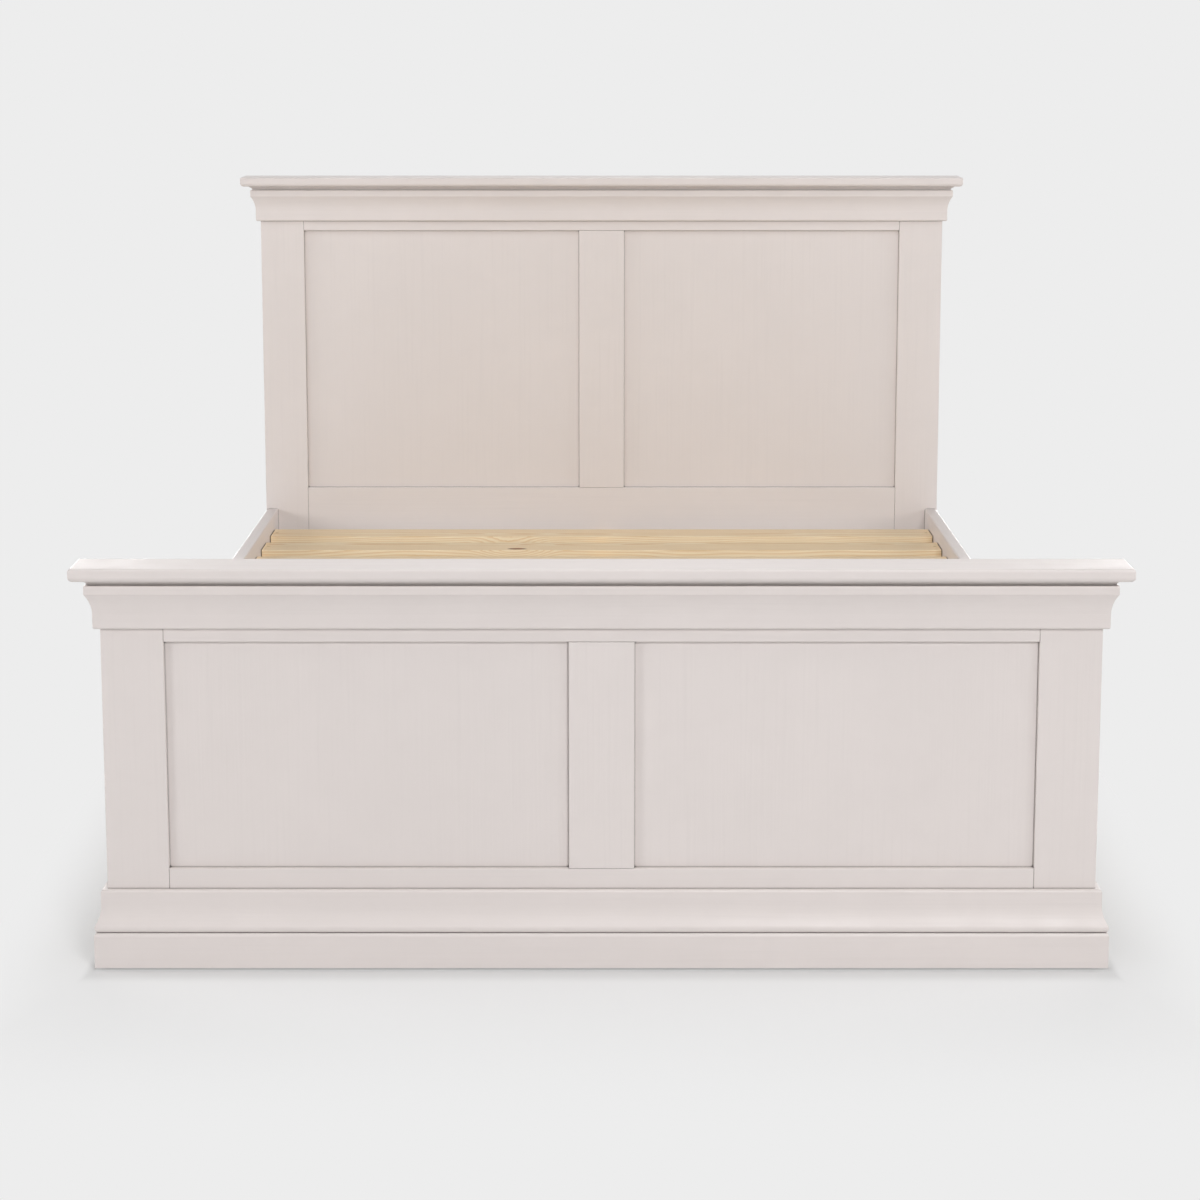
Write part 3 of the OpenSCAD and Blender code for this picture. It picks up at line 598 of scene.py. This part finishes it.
# Screws
def recess(top):
    """Tapered cross that cuts a driver's recess down from a height."""
    outline = []
    for turn in range(4):
        spin = Matrix.Rotation(math.radians(90 * turn), 2)
        for spot in ((RECESS_REACH, -RECESS_HALF_WIDTH), (RECESS_REACH, RECESS_HALF_WIDTH),
                     (RECESS_HALF_WIDTH, RECESS_HALF_WIDTH)):
            outline.append(spin @ Vector(spot))
    mesh = bmesh.new()
    prism(mesh, outline, (top - RECESS_DEPTH, RECESS_LOW_SCALE),
          (top + RECESS_DEPTH / 4, RECESS_HIGH_SCALE))
    return mesh


def pan_head(radius):
    """Outline of a pan head: a low dome over an upright edge."""
    height = PAN_HEIGHT_OF_RADIUS * radius
    rise = PAN_DOME_OF_HEIGHT * height
    turns = [math.radians(90 * step / PAN_DOME_STEPS) for step in range(PAN_DOME_STEPS + 1)]
    dome = [(radius * math.sin(a), -rise * (1 - math.cos(a))) for a in turns]
    return [*dome, (radius, -height + HEAD_EDGE), (radius - HEAD_EDGE, -height)]


def countersunk_head(radius):
    """Outline of a countersunk head with a flat top and a thin edge."""
    bevel = HEAD_EDGE / 2
    return [(0, 0), (radius - bevel, 0), (radius, -bevel), (radius, -HEAD_EDGE),
            (NECK_OF_RADIUS * radius, -HEAD_EDGE - COUNTERSINK_OF_RADIUS * radius)]


def screw(head, length, shank):
    """Screw along Z with its head's top at the origin. head is the head's outline from the axis
    outwards, and shank the radius over its thread."""
    core = CORE_OF_SHANK * shank
    seat = head[-1][1]
    cone = CONE_OF_SHANK * shank
    mesh = bmesh.new()
    lathe(mesh, [*head, (core, seat), (core, cone - length), (0, -length)])
    mesh = combined(mesh, recess(0.0), "DIFFERENCE")
    thread(mesh, lambda z: core * min(1.0, (z + length) / cone), shank - core, SCREW_PITCH,
           RIB_OF_PITCH * SCREW_PITCH, cone / 3 - length, seat - SCREW_PITCH)
    return mesh


def solids(name):
    """The corner points of each separate solid of a CAD node."""
    mesh = bmesh.new()
    mesh.from_mesh(nodes[name].data)
    bmesh.ops.remove_doubles(mesh, verts=mesh.verts, dist=WELD)
    found = []
    for start in mesh.verts:
        if start.tag:
            continue
        start.tag = True
        group = [start]
        for vert in group:
            for edge in vert.link_edges:
                other = edge.other_vert(vert)
                if not other.tag:
                    other.tag = True
                    group.append(other)
        found.append([vert.co.copy() for vert in group])
    mesh.free()
    return found


def fastener_places(name):
    """For each solid of a CAD node: the matrix that stands a screw drawn along Z in its place,
    turned by chance, and its length and the radius of its head."""
    chance = random.Random(SEED)
    places = []
    for points in solids(name):
        low = Vector([min(p[i] for p in points) for i in range(3)])
        high = Vector([max(p[i] for p in points) for i in range(3)])
        size = high - low
        axis = max(range(3), key=lambda i: size[i])
        middle = (low + high) / 2
        reach = {}
        for side, end in ((1, high[axis]), (-1, low[axis])):
            near = [p - middle for p in points if abs(p[axis] - end) < MM]
            reach[side] = max(math.hypot(*[p[i] for i in range(3) if i != axis]) for p in near)
        side = max(reach, key=reach.get)
        out = Vector([side if i == axis else 0 for i in range(3)])
        turn = out.to_track_quat("Z", "Y").to_matrix().to_4x4()
        spin = Matrix.Rotation(chance.uniform(0, 2 * math.pi), 4, "Z")
        top = Matrix.Translation(middle + out * size[axis] / 2)
        places.append((top @ turn @ spin, size[axis], reach[side]))
    return places


def detailed_screws(name, head_of, shank):
    """A screw with its recess and thread in the place of each solid of a CAD node."""
    places = fastener_places(name)
    length = places[0][1]
    radius = max(reach for _, _, reach in places)
    template = new_piece(screw(head_of(radius), length, shank), "scrap", None).data
    mesh = bmesh.new()
    for place, _, _ in places:
        first = len(mesh.verts)
        mesh.from_mesh(template)
        bmesh.ops.transform(mesh, matrix=place, verts=list(mesh.verts)[first:])
    bpy.data.meshes.remove(template)
    stand_in(mesh, name, "bed")


def stand_in(mesh, name, body):
    """Makes a bmesh into the piece that stands for a CAD node."""
    piece = new_piece(mesh, f"{name}_detailed", material_of(name))
    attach(piece, body)
    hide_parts(name)


# Levelling feet
def hexagon_nut(half_flats, low, high):
    """Hexagonal prism whose corners are turned off at both ends."""
    corner = half_flats / math.cos(math.radians(30))
    turns = [math.radians(60 * step) for step in range(6)]
    mesh = bmesh.new()
    prism(mesh, [(corner * math.cos(a), corner * math.sin(a)) for a in turns], (low, 1), (high, 1))
    barrel = bmesh.new()
    face = NUT_FACE_OF_FLATS * half_flats
    lathe(barrel, [(0, low - MM), (face - 2 * MM, low - MM), (face, low), (corner, low + CHAMFER),
                   (corner, high - CHAMFER), (face, high), (face - 2 * MM, high + MM),
                   (0, high + MM)], 4 * STEPS)
    return combined(mesh, barrel, "INTERSECT")


def levelling_stem(end):
    """Stem of a levelling foot: spigot, nut and thread."""
    name = f"{end}_foot_stem"
    low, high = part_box(name)
    half_flats = (high.x - low.x) / 2 * math.cos(math.radians(30))
    nut_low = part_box(f"{end}_foot_pad")[1].z + NUT_GAP
    nut_high = nut_low + NUT_T
    core = STEM_RADIUS - STEM_DEPTH_OF_PITCH * STEM_PITCH
    mesh = hexagon_nut(half_flats, nut_low, nut_high)
    lathe(mesh, [(0, low.z), (SPIGOT_RADIUS - CHAMFER, low.z), (SPIGOT_RADIUS, low.z + CHAMFER),
                 (SPIGOT_RADIUS, nut_low + MM), (core, nut_low + MM), (core, high.z - CHAMFER),
                 (core - CHAMFER, high.z), (0, high.z)])
    thread(mesh, lambda z: core, STEM_RADIUS - core, STEM_PITCH, STEM_RIB_OF_PITCH * STEM_PITCH,
           nut_high - STEM_PITCH, high.z)
    middle = middle_of(name)
    bmesh.ops.translate(mesh, vec=(middle.x, middle.y, 0), verts=mesh.verts)
    stand_in(mesh, name, f"{end}_stem")


scene.view_settings.view_transform = "Standard"
light_studio()
pale_floor()
dress_frame()
detailed_screws("pan_screws", pan_head, PAN_SHANK)
detailed_screws("wood_screws", countersunk_head, WOOD_SHANK)
for end in ("front", "rear"):
    levelling_stem(end)
